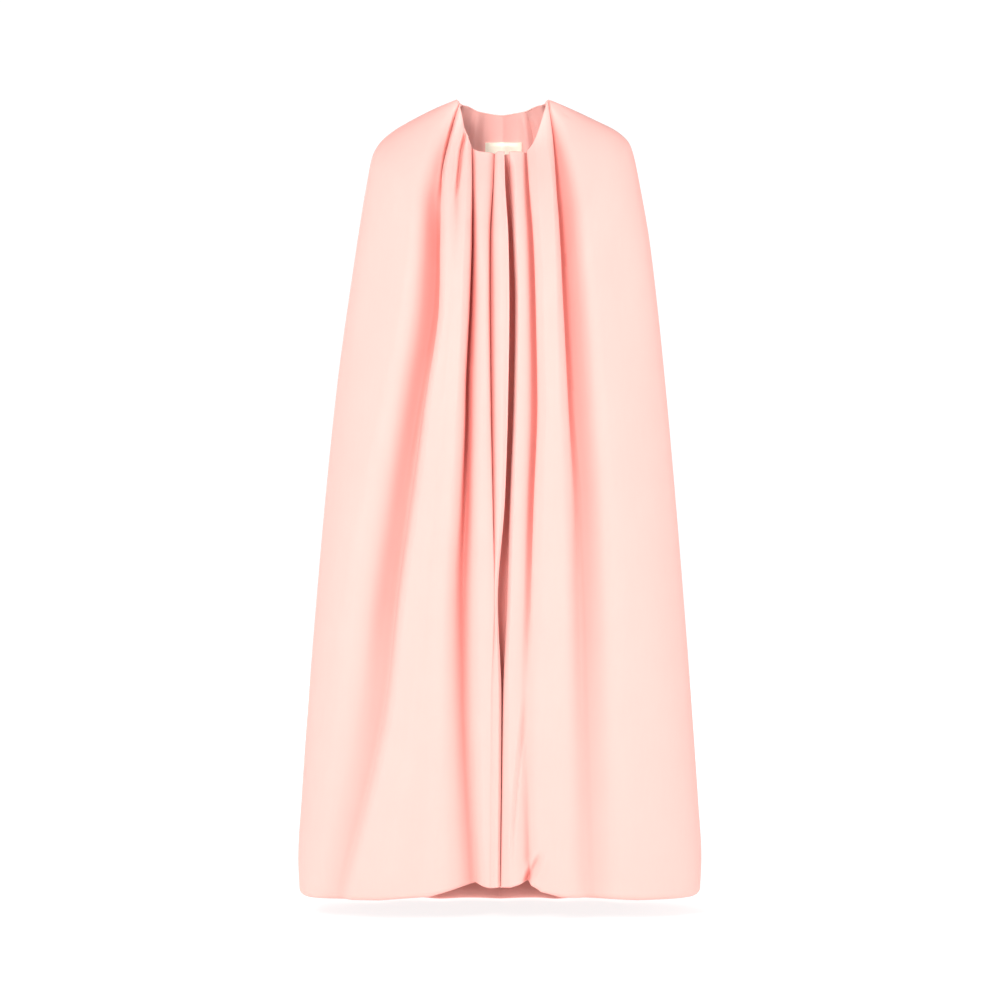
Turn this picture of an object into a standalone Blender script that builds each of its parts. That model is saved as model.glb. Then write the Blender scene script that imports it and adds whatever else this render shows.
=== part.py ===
"""A full-length cape, worn and hollow, as four cloth panels and a neck label.

Units are metres, +Z is up and the front faces -Y. The origin lies between the two
high shoulder points, where the wearer's shoulders carry the cape. Left and right are
those of somebody looking at the front.

The cape hangs as a stack of rings, from the neckline to the hem. A ring is named by
its drop: how far it lies below the origin at the centre front. Folds run down over the
rings. Each has a place and a height at seven stations, and the cloth swings smoothly
from one fold to the next.
"""

import math
from collections import namedtuple

import bmesh
import bpy
import numpy as np
from mathutils import Vector
from mathutils.bvhtree import BVHTree

MM = 0.001
CLOTH = 0.0018  # thickness of the wall
SEAM_GAP = 0.0003  # between two panels along a seam
NECK_DROP = 0.091  # of the neckline at the centre front, below the shoulders
HEM_DROP = 1.255  # of the line where the front hem starts to turn under
ROWS = 25  # rows of faces from neckline to hem
ROW_CROWDING = 1.65  # above 1, the rows lie closer together near the neck
TURN_ANGLES = (35, 75, 115, 160)  # degrees round the soft roll of the hem, a row of points at each
TURN_UP = 0.012  # how far the hem runs up inside
RING_POINTS = 180  # steps that a half ring is measured in
FOLD_ROOM = 0.0035  # two fold lines never come closer than this

LEAN_FULL = 0.35  # folds lean over their valleys down to here
LEAN_NONE = 0.95  # and stand upright from here down

LIFT_FROM = 1.08  # drop below which a hem that rises starts to do so

LABEL_WIDTH = 0.060
LABEL_HEIGHT = 0.024
LABEL_CENTRE_X = 0.006
LABEL_TOP_DROP = 0.060  # below the shoulders
LABEL_THICKNESS = 0.0012
LABEL_GAP = 0.0005  # between the label and the cloth it is sewn on
LABEL_COLUMNS = 12
LABEL_ROWS = 4

# The form that the cloth hangs in. Drops and sizes in millimetres: how far each ring
# lies below the shoulders at the front, side and back, and how far it reaches left,
# right, forwards and backwards. square is the exponent of its superellipse. round_off
# rounds the ring over the shoulder, and settle levels it towards the front and back.
Ring = namedtuple("Ring", "front_drop side_drop back_drop left right front back square round_off settle")
RINGS = (
    Ring(91, 0, 18, 70, 79, 66, 62, 2.20, 2.5, 1.65),
    Ring(125, 13, 52, 102, 110, 82, 76, 2.05, 2.3, 1.50),
    Ring(168, 32, 96, 140, 151, 98, 90, 2.10, 2.2, 1.40),
    Ring(206, 51, 134, 172, 188, 109, 100, 2.15, 2.1, 1.30),
    Ring(232, 70, 160, 193, 207, 115, 106, 2.20, 2.1, 1.20),
    Ring(258, 90, 186, 204, 214, 119, 110, 2.30, 2.0, 1.10),
    Ring(300, 134, 232, 213, 223, 124, 115, 2.40, 2.0, 1.05),
    Ring(392, 240, 330, 230, 241, 129, 120, 2.50, 2.0, 1.0),
    Ring(600, 480, 556, 262, 266, 136, 129, 2.65, 2.0, 1.0),
    Ring(868, 800, 852, 292, 293, 144, 142, 2.85, 2.0, 1.0),
    Ring(1140, 1120, 1146, 316, 316, 151, 155, 3.05, 2.0, 1.0),
    Ring(1220, 1210, 1234, 321, 321, 152, 158, 3.10, 2.0, 1.0),
    Ring(1255, 1256, 1284, 319, 319, 150, 157, 3.10, 2.0, 1.0),
)

# Heights in millimetres below the shoulders that the fold lines are given at.
STATIONS = (10, 50, 130, 330, 640, 950, 1250)

# A fold line as the front view shows it: how far it lies right of the centre (x), and how
# far it stands out of the base form (out), in millimetres, at each station. faces is the
# number of faces from it to the next line. turn is how far the soft roll of the hem reaches
# in there, and lift how far the hem rises. broad flattens the fold's top and sharpens the
# valley beside it. lean pushes one side out over its valley, as a share of the way there:
# the right side above zero, the left side below.
Fold = namedtuple("Fold", "name x out faces turn lift broad lean", defaults=(0, 1.0, 0.0))

FRONT_LEFT = (
    Fold("side seam", None, (0, 0, 0, 0, 0, 0, 0), 6, 22),
    Fold("outer swell", (-68, -112, -138, -156, -208, -262, -305), (0, 0, 1, 2, 3, 3, 2), 4, 22, 0, 1.2),
    Fold("outer valley", (-64, -78, -92, -109, -150, -194, -262), (-3, -8, -18, -32, -24, -14, -5), 3, 21),
    Fold("broad pleat", (-61, -68, -80, -95, -120, -157, -225), (2, 3, 5, 6, 8, 7, 4), 3, 20, 0, 1.6, -0.35),
    Fold("neck tuck", (-58, -55, -64, -80, -102, -140, -190), (-3, -4, -3, 7, 8, 7, 5), 3, 19),
    Fold("broad end", (-56, -50, -53, -66, -84, -116, -112), (2, 3, 4, 6, 5, 2, 0), 4, 16, 4, 1.5, 0.15),
    Fold("middle valley", (-49, -45, -43, -48, -52, -56, -39), (-3, -4, -14, -24, -22, -20, -20), 3, 12, 22),
    Fold("flat pleat", (-32, -31, -29, -29, -26, -25, -19), (1, 1, 0, -1, 1, 3, 2), 3, 10, 16, 1.6),
    Fold("edge valley", (-12, -12, -12, -15, -9, -13, -13), (-3, -4, -9, -12, -8, 0, -1), 3, 8, 14),
    Fold("edge strip", (1, 1, 1, 4, 2, -5, -6), (2, 2, 3, 3, 0, -3, -3), 3, 7, 14, 1.3, -0.15),
    Fold("front edge", (10, 11, 13, 18, 12, -1, 0), (1, 1, 1, 0, -4, -7, -7), 0, 6, 14),
)

FRONT_RIGHT = (
    Fold("front edge", (-4, -4, -4, -2, -6, -16, -16), (-4, -5, -13, -18, -20, -20, -20), 2, 8, 16),
    Fold("centre valley", (10, 12, 14, 20, 13, 0, -2), (-4, -5, -13, -19, -18, -17, -16), 3, 8, 14),
    Fold("narrow pleat", (27, 27, 27, 32, 24, 19, 21), (1, 1, 1, 0, 2, 3, 3), 3, 10, 17, 1.5, -0.1),
    Fold("soft valley", (46, 45, 46, 48, 50, 42, 46), (-3, -4, -11, -14, -12, -6, -13), 3, 10, 33),
    Fold("full pleat", (60, 58, 62, 66, 67, 59, 66), (2, 3, 6, 8, 8, 7, 3), 3, 13, 11, 1.5, -0.15),
    Fold("full end", (70, 70, 82, 90, 96, 92, 96), (2, 3, 6, 8, 9, 8, 6), 3, 17, 5, 1.6, 0.35),
    Fold("outer valley", (75, 80, 94, 105, 123, 132, 140), (-3, -8, -18, -30, -22, -12, -8), 4, 20, 3),
    Fold("outer swell", (79, 106, 130, 152, 178, 196, 214), (0, 0, -2, -5, -3, -1, 1), 6, 21, 0, 1.2),
    Fold("side seam", None, (0, 0, 0, 0, 0, 0, 0), 0, 22),
)

BACK_RIGHT = (
    Fold("side seam", None, (0, 0, 0, 0, 0, 0, 0), 5, 22, 0, 1.2),
    Fold("outer swell", (78, 100, 122, 152, 196, 226, 250), (0, 0, 1, 3, 6, 8, 9), 4, 20, 0, 1.3),
    Fold("outer valley", (70, 76, 92, 112, 140, 170, 196), (-2, -5, -10, -15, -16, -16, -16), 4, 20),
    Fold("outer pleat", (54, 58, 68, 82, 104, 126, 146), (2, 3, 5, 7, 8, 9, 10), 4, 20, 0, 1.3),
    Fold("inner valley", (40, 42, 48, 55, 68, 82, 94), (-2, -4, -7, -9, -11, -13, -15), 4, 20),
    Fold("inner pleat", (24, 25, 28, 32, 39, 46, 52), (1, 2, 4, 5, 7, 8, 9), 4, 20, 0, 1.3),
    Fold("centre back seam", (4, 4, 4, 3, 2, 1, 0), (-2, -2, -3, -3, -4, -4, -5), 0, 20),
)

BACK_LEFT = (
    Fold("centre back seam", (4, 4, 4, 3, 2, 1, 0), (-2, -2, -3, -3, -4, -4, -5), 4, 20),
    Fold("inner pleat", (-21, -23, -26, -30, -35, -42, -47), (1, 2, 4, 5, 6, 7, 8), 4, 20, 0, 1.3),
    Fold("inner valley", (-36, -40, -47, -57, -72, -88, -101), (-2, -4, -6, -9, -11, -13, -14), 4, 20),
    Fold("outer pleat", (-48, -55, -68, -84, -108, -133, -155), (2, 3, 5, 7, 8, 9, 9), 4, 20, 0, 1.3),
    Fold("outer valley", (-60, -76, -92, -115, -147, -180, -208), (-2, -5, -9, -14, -16, -16, -15), 4, 20),
    Fold("outer swell", (-69, -100, -122, -154, -204, -238, -262), (0, 0, 1, 3, 5, 8, 10), 5, 20, 0, 1.3),
    Fold("side seam", None, (0, 0, 0, 0, 0, 0, 0), 0, 22, 0, 1.2),
)

Finish = namedtuple("Finish", "name colour roughness")
BLUSH_CLOTH = Finish("blush_cloth", (0.93, 0.66, 0.58, 1.0), 0.85)
LABEL_TAPE = Finish("label_tape", (0.95, 0.90, 0.76, 1.0), 0.6)


def clear_scene():
    """Removes whatever the file starts with."""
    for obj in list(bpy.data.objects):
        bpy.data.objects.remove(obj)


def smooth_through(places, values, at):
    """A smooth curve through a table's values that never overshoots them (monotone cubic)."""
    places = np.asarray(places, float)
    values = np.asarray(values, float)
    steps = np.diff(places)
    slopes = np.diff(values) / steps
    tangents = np.empty(len(values))
    tangents[0] = slopes[0]
    tangents[-1] = slopes[-1]
    for i in range(1, len(values) - 1):
        before, after = slopes[i - 1], slopes[i]
        if before * after <= 0:
            tangents[i] = 0
        else:
            tangents[i] = 2 * before * after / (before + after)
    at = np.clip(at, places[0], places[-1])
    k = np.clip(np.searchsorted(places, at) - 1, 0, len(steps) - 1)
    t = (at - places[k]) / steps[k]
    rise = t * t * (3 - 2 * t) * (values[k + 1] - values[k])
    start_pull = t * (1 - t) ** 2 * steps[k] * tangents[k]
    end_pull = -t * t * (1 - t) * steps[k] * tangents[k + 1]
    return values[k] + rise + start_pull + end_pull


def ring_at(drop):
    """The ring at a drop in metres, with its sizes in metres, between the table's rings."""
    places = [ring.front_drop * MM for ring in RINGS]
    sizes = {}
    for field in Ring._fields:
        scale = 1 if field in ("square", "round_off", "settle") else MM
        sizes[field] = smooth_through(places, [getattr(ring, field) * scale for ring in RINGS], drop)
    return Ring(**sizes)


def ring_points(drop, angles):
    """Points on a ring of the base form. Angle 0 is the centre front and a quarter turn the right side."""
    ring = ring_at(drop)
    sine, cosine = np.sin(angles), np.cos(angles)
    bend = 2 / ring.square
    across = np.where(sine > 0, ring.right, ring.left) * np.sign(sine) * np.abs(sine) ** bend
    deep = -np.where(cosine > 0, ring.front, ring.back) * np.sign(cosine) * np.abs(cosine) ** bend
    end_drop = np.where(cosine > 0, ring.front_drop, ring.back_drop)
    fall = 1 - (1 - np.abs(cosine) ** ring.round_off) ** ring.settle
    down = ring.side_drop + (end_drop - ring.side_drop) * fall
    return np.stack([across, deep, -down], axis=1)


def half_ring(drop, front):
    """Points, directions onwards and distances along half a ring, from its first seam."""
    steps = np.linspace(-1, 1, RING_POINTS + 1)
    # The steps are finer beside the two seams, where a ring turns most.
    sweep = math.pi / 2 * np.sign(steps) * (1 - (1 - np.abs(steps)) ** 1.6)
    middle = 0 if front else math.pi
    # One more step past each seam, so that both halves agree on the direction there.
    past = sweep[1] - sweep[0]
    sweep = np.concatenate([[sweep[0] - past], sweep, [sweep[-1] + past]])
    points = ring_points(drop, middle + sweep)
    onwards = points[2:] - points[:-2]
    onwards /= np.linalg.norm(onwards, axis=1)[:, None]
    points = points[1:-1]
    lengths = np.linalg.norm(np.diff(points, axis=0), axis=1)
    return points, onwards, np.concatenate([[0], np.cumsum(lengths)])


def swing_between(share, broad_start, broad_end):
    """How far the cloth has gone from one fold line's height to the next, from 0 to 1."""
    eased = 1 - (1 - share) ** broad_end
    eased = eased**broad_start
    return eased * eased * (3 - 2 * eased)


def fold_places(folds, points, along, front):
    """Distances along a ring at which it crosses the fold lines."""
    heights = -points[:, 2]
    stations = [station * MM for station in STATIONS]
    sign = 1 if front else -1
    places = []
    for i, fold in enumerate(folds):
        if fold.x is None:
            place = 0.0 if i == 0 else along[-1]
        else:
            line = smooth_through(stations, [value * MM for value in fold.x], heights)
            place = np.interp(0, sign * (points[:, 0] - line), along)
        places.append(place)
    for i in range(1, len(places)):
        places[i] = max(places[i], places[i - 1] + FOLD_ROOM)
    places[-1] = min(places[-1], along[-1])
    for i in reversed(range(len(places) - 1)):
        places[i] = min(places[i], places[i + 1] - FOLD_ROOM)
    for i, gap in ((0, SEAM_GAP / 2), (-1, -SEAM_GAP / 2)):
        if "seam" in folds[i].name:
            places[i] += gap
    return places


def panel_section(folds, points, along, front):
    """One panel's columns on one ring: distance along, height out of it, hem lift and hem turn of each."""
    places = fold_places(folds, points, along, front)
    stations = [station * MM for station in STATIONS]
    below = -np.interp(places, along, points[:, 2])
    heights = [
        float(smooth_through(stations, [value * MM for value in fold.out], drop))
        for fold, drop in zip(folds, below)
    ]
    lowest = -points[:, 2].min()
    crispness = min(1.0, max(0.0, (LEAN_NONE - lowest) / (LEAN_NONE - LEAN_FULL)))
    columns = []
    for i, (fold, following) in enumerate(zip(folds[:-1], folds[1:])):
        width = places[i + 1] - places[i]
        rise = heights[i + 1] - heights[i]
        # The higher of the two lines leans over the lower one.
        lean = crispness * (max(0.0, fold.lean) if rise < 0 else min(0.0, following.lean))
        for k in range(fold.faces):
            share = k / fold.faces
            gone = swing_between(share, fold.broad, following.broad)
            place = places[i] + width * (share + lean * math.sin(math.pi * gone))
            lift = fold.lift + (following.lift - fold.lift) * share
            turn = fold.turn + (following.turn - fold.turn) * share
            columns.append((place, heights[i] + rise * gone, lift, turn))
    columns.append((places[-1], heights[-1], folds[-1].lift, folds[-1].turn))
    return np.array(columns)


def row_drops():
    """The drops of the rows of points, from the neckline to where the hem turns under."""
    shares = [(row / ROWS) ** ROW_CROWDING for row in range(ROWS + 1)]
    return [NECK_DROP + (HEM_DROP - NECK_DROP) * share for share in shares]


def base_row(drop, front, places):
    """Points of the base form at distances along a ring, with its normals and directions onwards."""
    points, onwards, along = half_ring(drop, front)
    near = min(drop + 0.002, HEM_DROP)
    above, below = (half_ring(d, front)[0] for d in (near - 0.004, near))
    normals = np.cross(below - above, onwards)
    rows = []
    for values in (points, normals, onwards):
        rows.append(np.stack([np.interp(places, along, values[:, axis]) for axis in range(3)], axis=1))
    base, out, onward = rows
    out /= np.linalg.norm(out, axis=1)[:, None]
    onward /= np.linalg.norm(onward, axis=1)[:, None]
    return base, out, onward


def turn_under(edge, out, reaches):
    """Rows that carry a hem edge round a soft roll, which reaches inwards by reaches, and up inside."""
    inwards = -out * np.array([1, 1, 0])
    inwards /= np.linalg.norm(inwards, axis=1)[:, None]
    up = np.array([0.0, 0.0, 1.0])
    radii = reaches[:, None] / 2
    rows = []
    for angle in TURN_ANGLES:
        turn = math.radians(angle)
        rows.append(edge + radii * ((1 - math.cos(turn)) * inwards - math.sin(turn) * up))
    rows.append(rows[-1] + TURN_UP * up)
    return rows


def panel_grid(folds, front):
    """Outer points of a panel, row by row from the neckline, and the base form's directions onwards."""
    grid, directions = [], []
    for drop in row_drops():
        points, _, along = half_ring(drop, front)
        places, heights, lifts, turns = panel_section(folds, points, along, front).T
        base, out, onward = base_row(drop, front, places)
        rising = max(0.0, (drop - LIFT_FROM) / (HEM_DROP - LIFT_FROM))
        base[:, 2] += lifts * MM * rising**2
        grid.append(base + heights[:, None] * out)
        directions.append(onward)
    for row in turn_under(grid[-1], out, turns * MM):
        grid.append(row)
        directions.append(onward)
    return np.array(grid), np.array(directions)


def wall_normals(grid, directions, folds):
    """Outward normals of a folded panel. Beside a seam they follow the base form, so that panels agree."""
    across = np.gradient(grid, axis=1)
    for column, fold in ((0, folds[0]), (-1, folds[-1])):
        if "seam" in fold.name:
            across[:, column] = directions[:, column]
    normals = np.cross(np.gradient(grid, axis=0), across)
    return normals / np.linalg.norm(normals, axis=2)[:, :, None]


def add_wall(name, outer, inner, finish):
    """One closed solid between two grids of points, outer and inner."""
    shape = bmesh.new()
    rows, columns = outer.shape[:2]
    skins = [[[shape.verts.new(point) for point in row] for row in grid] for grid in (outer, inner)]
    out, into = skins
    for r in range(rows - 1):
        for c in range(columns - 1):
            shape.faces.new((out[r][c], out[r + 1][c], out[r + 1][c + 1], out[r][c + 1]))
            shape.faces.new((into[r][c], into[r][c + 1], into[r + 1][c + 1], into[r + 1][c]))
    for r in range(rows - 1):
        shape.faces.new((out[r][0], into[r][0], into[r + 1][0], out[r + 1][0]))
        shape.faces.new((out[r][-1], out[r + 1][-1], into[r + 1][-1], into[r][-1]))
    for c in range(columns - 1):
        shape.faces.new((out[0][c], out[0][c + 1], into[0][c + 1], into[0][c]))
        shape.faces.new((out[-1][c], into[-1][c], into[-1][c + 1], out[-1][c + 1]))
    bmesh.ops.recalc_face_normals(shape, faces=shape.faces)
    bmesh.ops.triangulate(shape, faces=shape.faces, quad_method="BEAUTY")
    mesh = bpy.data.meshes.new(name)
    shape.to_mesh(mesh)
    shape.free()
    mesh.shade_smooth()
    mesh.set_sharp_from_angle(angle=math.radians(50))
    mesh.materials.append(material_of(finish))
    obj = bpy.data.objects.new(name, mesh)
    bpy.context.scene.collection.objects.link(obj)
    return obj


def material_of(finish):
    """A Principled material with a finish's colour and roughness, made once."""
    material = bpy.data.materials.get(finish.name)
    if material is None:
        material = bpy.data.materials.new(finish.name)
        material.use_nodes = True
        shader = material.node_tree.nodes["Principled BSDF"]
        shader.inputs["Base Color"].default_value = finish.colour
        shader.inputs["Roughness"].default_value = finish.roughness
        shader.inputs["Metallic"].default_value = 0.0
    return material


def add_panel(name, folds, front):
    """One cloth panel, from its fold table. Returns its inner points."""
    outer, directions = panel_grid(folds, front)
    normals = wall_normals(outer, directions, folds)
    inner = outer - CLOTH * normals
    add_wall(name, outer, inner, BLUSH_CLOTH)
    return inner


def inner_face(inners):
    """A searchable surface of the inner faces of some panels."""
    points, faces = [], []
    for inner in inners:
        rows, columns = inner.shape[:2]
        first = len(points)
        points.extend(Vector(point) for point in inner.reshape(-1, 3))
        for r in range(rows - 1):
            for c in range(columns - 1):
                corner = first + r * columns + c
                faces.append((corner, corner + columns, corner + columns + 1, corner + 1))
    return BVHTree.FromPolygons(points, faces)


def add_label(backs):
    """The label, laid on the inner face of the two backs, a seam's gap away from it."""
    face = inner_face(backs)
    near, far = [], []
    for row in range(LABEL_ROWS + 1):
        height = -LABEL_TOP_DROP - LABEL_HEIGHT * row / LABEL_ROWS
        near.append([])
        far.append([])
        for column in range(LABEL_COLUMNS + 1):
            across = LABEL_CENTRE_X + LABEL_WIDTH * (column / LABEL_COLUMNS - 0.5)
            cloth, normal, _, _ = face.ray_cast(Vector((across, 0, height)), Vector((0, 1, 0)))
            inwards = -normal if normal.y > 0 else normal
            near[-1].append(cloth + inwards * LABEL_GAP)
            far[-1].append(cloth + inwards * (LABEL_GAP + LABEL_THICKNESS))
    add_wall("neck_label", np.array(far), np.array(near), LABEL_TAPE)


def main():
    """Builds the panels and the label."""
    clear_scene()
    add_panel("front_left", FRONT_LEFT, front=True)
    add_panel("front_right", FRONT_RIGHT, front=True)
    back_right = add_panel("back_right", BACK_RIGHT, front=False)
    back_left = add_panel("back_left", BACK_LEFT, front=False)
    add_label((back_right, back_left))


main()
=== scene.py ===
"""A blush crepe cape in its worn shape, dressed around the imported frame.

Everything is in metres, +Z is up and the front faces -Y. Left and right are those of
somebody looking at the front. The cloth follows the same rings and fold lines as the
frame's solids, at a finer grid, and adds the rolled neckline, the sewn-up hem, small
creases, the weave and the stitches.
"""

from __future__ import annotations

import logging
import math
from dataclasses import dataclass, field
from enum import Enum
from typing import Any, NamedTuple, Sequence

import bmesh
import bpy
import numpy as np
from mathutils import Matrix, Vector
from mathutils.bvhtree import BVHTree

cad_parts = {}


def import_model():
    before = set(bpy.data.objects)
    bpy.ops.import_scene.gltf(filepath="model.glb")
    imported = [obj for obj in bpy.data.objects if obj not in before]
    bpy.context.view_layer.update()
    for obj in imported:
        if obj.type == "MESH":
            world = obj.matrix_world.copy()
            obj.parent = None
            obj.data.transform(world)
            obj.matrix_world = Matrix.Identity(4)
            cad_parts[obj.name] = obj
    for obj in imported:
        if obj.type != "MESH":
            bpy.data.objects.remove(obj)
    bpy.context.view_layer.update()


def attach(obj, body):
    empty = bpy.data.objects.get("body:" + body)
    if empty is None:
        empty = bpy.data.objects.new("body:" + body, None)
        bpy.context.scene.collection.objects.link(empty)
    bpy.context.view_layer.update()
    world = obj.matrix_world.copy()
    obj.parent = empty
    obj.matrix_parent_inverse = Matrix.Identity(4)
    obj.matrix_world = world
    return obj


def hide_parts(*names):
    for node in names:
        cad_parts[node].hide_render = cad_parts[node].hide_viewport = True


LOG = logging.getLogger("cape")
MM = 0.001
Colour = tuple[float, float, float, float]


# ---------------------------------------------------------------- tables of the form


class Ring(NamedTuple):
    """A ring of the form that the cloth hangs in, in millimetres, as the frame has it."""

    front_drop: float
    side_drop: float
    back_drop: float
    left: float
    right: float
    front: float
    back: float
    square: float
    front_round: float
    front_settle: float
    back_round: float
    back_settle: float


RING_LENGTHS = Ring._fields[:7]

RINGS = (
    Ring(91, 0, 18, 70, 79, 66, 62, 2.20, 3.2, 3.2, 2.7, 1.0),
    Ring(125, 13, 52, 102, 110, 82, 76, 2.05, 2.7, 2.1, 3.2, 1.3),
    Ring(168, 32, 96, 140, 151, 98, 90, 2.10, 2.3, 1.5, 2.3, 1.4),
    Ring(206, 51, 134, 172, 188, 109, 100, 2.15, 2.1, 1.3, 2.1, 1.3),
    Ring(232, 70, 160, 193, 207, 115, 106, 2.20, 2.1, 1.2, 2.1, 1.2),
    Ring(258, 90, 186, 204, 214, 119, 110, 2.30, 2.0, 1.1, 2.0, 1.1),
    Ring(300, 134, 232, 213, 223, 124, 115, 2.40, 2.0, 1.05, 2.0, 1.05),
    Ring(392, 240, 330, 230, 241, 129, 120, 2.50, 2.0, 1.0, 2.0, 1.0),
    Ring(600, 480, 556, 262, 266, 136, 129, 2.65, 2.0, 1.0, 2.0, 1.0),
    Ring(868, 800, 852, 292, 293, 144, 142, 2.85, 2.0, 1.0, 2.0, 1.0),
    Ring(1140, 1120, 1146, 316, 316, 151, 155, 3.05, 2.0, 1.0, 2.0, 1.0),
    Ring(1220, 1210, 1234, 321, 321, 152, 158, 3.10, 2.0, 1.0, 2.0, 1.0),
    Ring(1255, 1256, 1284, 319, 319, 150, 157, 3.10, 2.0, 1.0, 2.0, 1.0),
)

STATIONS = (10, 50, 130, 230, 330, 485, 640, 795, 950, 1250)


class Fold(NamedTuple):
    """A fold line: its place across (x) and its height (out) at each station, in millimetres.

    faces is the share of columns to the next line, turn the reach of the hem's roll, lift how
    far the hem rises, broad flattens the fold's top, and lean, also given at each station, pushes
    its left side (below 0) or its right side (above 0) over the valley there.
    """

    name: str
    x: tuple[float, ...] | None
    out: tuple[float, ...]
    faces: int
    turn: float
    lift: float = 0
    broad: float = 1.0
    lean: tuple[float, ...] = ()


FRONT_LEFT = (
    Fold("side seam", None, (0,) * 10, 6, 22),
    Fold(
        "outer swell", (-68, -112, -136, -146, -158, -188, -226, -254, -278, -305),
        (0, 0, 1, 1, 2, 2, 3, 3, 3, 2), 4, 22, 0, 1.2,
    ),
    Fold(
        "outer valley", (-65, -76, -91, -94, -98, -124, -148, -168, -184, -250),
        (-3, -5, -14, -32, -35, -28, -26, -23, -17, -6), 3, 21,
    ),
    Fold(
        "broad pleat", (-61, -68, -82, -83, -84, -104, -119, -142, -157, -225),
        (2, 3, 5, 6, 6, 7, 8, 8, 7, 4), 3, 20, 0, 1.6,
        (-0.5, -0.5, -0.5, -0.5, -0.35, -0.08, 0, 0, 0, 0),
    ),
    Fold(
        "neck tuck", (-57, -56, -65, -70, -73, -88, -102, -120, -138, -190),
        (-3, -4, -3, 3, 7, 8, 8, 8, 7, 5), 3, 19,
    ),
    Fold(
        "broad end", (-53, -51, -53, -57, -61, -69, -82, -96, -102, -112),
        (2, 3, 4, 5, 6, 6, 5, 4, 2, 0), 4, 16, 4, 1.5,
        (0.55, 0.55, 0.55, 0.55, 0.55, 0.42, 0.12, 0, 0, 0),
    ),
    Fold(
        "middle valley", (-49, -46.5, -46, -47, -50.5, -56, -56, -58.5, -56, -39),
        (-6, -9, -13, -27, -32, -34, -30, -26, -23, -20), 3, 12, 22,
    ),
    Fold(
        "flat pleat", (-32, -31, -31, -28, -24, -24, -25, -25, -24, -19),
        (1, 1, 0, 0, -1, 0, 1, 2, 3, 2), 3, 10, 16, 1.6,
        (0.5, 0.5, 0.5, 0.5, 0.5, 0.5, 0.5, 0.5, 0.3, 0),
    ),
    Fold(
        "edge valley", (-12, -12, -14, -18, -17.5, -16, -13.5, -11, -13, -13),
        (-5, -8, -14, -17, -17, -16, -13, -7, 0, -1), 3, 8, 14,
    ),
    Fold(
        "edge strip", (0, 0, -1, 1, 3, 3, 1, -7.5, -3.5, -5),
        (2, 2, 3, 3, 3, 2, -1, -3, -3, -3), 3, 7, 14, 1.3,
    ),
    Fold(
        "front edge", (6, 6, 7, 12.5, 14, 12, 7, -4, 1.6, -0.6),
        (1, 1, 1, 0, 0, -2, -4, -6, -7, -7), 0, 6, 14,
    ),
)

FRONT_RIGHT = (
    Fold(
        "front edge", (-4, -4, -6, -4, -3, -4, -8, -20, -18, -16),
        (-4, -5, -13, -16, -18, -20, -20, -22, -20, -20), 2, 8, 16,
    ),
    Fold(
        "centre valley", (12, 13, 17.5, 21.5, 24.5, 22, 16, 11, 5.8, 3.2),
        (-7, -10, -22, -30, -33, -33, -32, -30, -25, -18), 3, 8, 14,
    ),
    Fold(
        "narrow pleat", (25, 25, 25, 27, 30, 28, 23, 18, 14, 18),
        (1, 1, 1, 1, 0, 1, 2, 2, 3, 3), 3, 10, 17, 1.5,
        (-0.4, -0.4, -0.4, -0.4, -0.4, -0.4, -0.4, -0.35, -0.5, -0.5),
    ),
    Fold(
        "soft valley", (43, 44, 47.5, 54.5, 58, 60.5, 54, 47, 38, 45),
        (-5, -8, -13, -18, -19, -18, -15, -8, -2, -7), 3, 10, 26,
    ),
    Fold(
        "full pleat", (60, 57, 59, 65, 69, 72, 70, 72, 66, 64),
        (2, 3, 6, 7, 8, 8, 8, 8, 7, 3), 3, 13, 11, 1.5,
        (-0.5, -0.5, -0.5, -0.5, -0.5, -0.48, -0.4, -0.25, 0, -0.2),
    ),
    Fold(
        "full end", (70, 70, 80, 84, 86, 89, 92, 94, 94, 96),
        (2, 3, 6, 7, 8, 9, 9, 9, 8, 6), 3, 17, 5, 1.6,
        (0.55, 0.55, 0.55, 0.55, 0.5, 0.3, 0.1, 0, 0, 0),
    ),
    Fold(
        "outer valley", (76, 80.5, 87, 94, 99, 109, 122, 128, 132, 140),
        (-6, -14, -25, -33, -34, -30, -25, -20, -15, -9), 4, 20, 3,
    ),
    Fold(
        "outer swell", (82, 108, 132, 146, 158, 172, 186, 196, 204, 218),
        (0, 0, -1, -3, -5, -4, -3, -2, -1, 1), 6, 21, 0, 1.2,
    ),
    Fold("side seam", None, (0,) * 10, 0, 22),
)

CENTRE_BACK = Fold(
    "centre back seam", (4, 4, 4, 4, 3, 2, 2, 2, 1, 0),
    (-2, -2, -3, -3, -3, -4, -4, -4, -4, -5), 0, 20,
)

BACK_RIGHT = (
    Fold("side seam", None, (0,) * 10, 5, 22, 0, 1.2),
    Fold(
        "outer swell", (78, 100, 122, 138, 152, 175, 196, 212, 226, 250),
        (0, 0, 1, 2, 3, 5, 6, 7, 8, 9), 4, 20, 0, 1.3,
    ),
    Fold(
        "outer valley", (70, 76, 92, 103, 112, 126, 140, 155, 170, 196),
        (-2, -5, -10, -13, -15, -16, -16, -16, -16, -16), 4, 20,
    ),
    Fold(
        "outer pleat", (54, 58, 68, 75, 82, 93, 104, 115, 126, 146),
        (2, 3, 5, 6, 7, 8, 8, 8, 9, 10), 4, 20, 0, 1.3,
    ),
    Fold(
        "inner valley", (40, 42, 48, 52, 55, 61, 68, 75, 82, 94),
        (-2, -4, -7, -8, -9, -10, -11, -12, -13, -15), 4, 20,
    ),
    Fold(
        "inner pleat", (24, 25, 28, 30, 32, 35, 39, 43, 46, 52),
        (1, 2, 4, 5, 5, 6, 7, 8, 8, 9), 4, 20, 0, 1.3,
    ),
    CENTRE_BACK,
)

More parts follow.
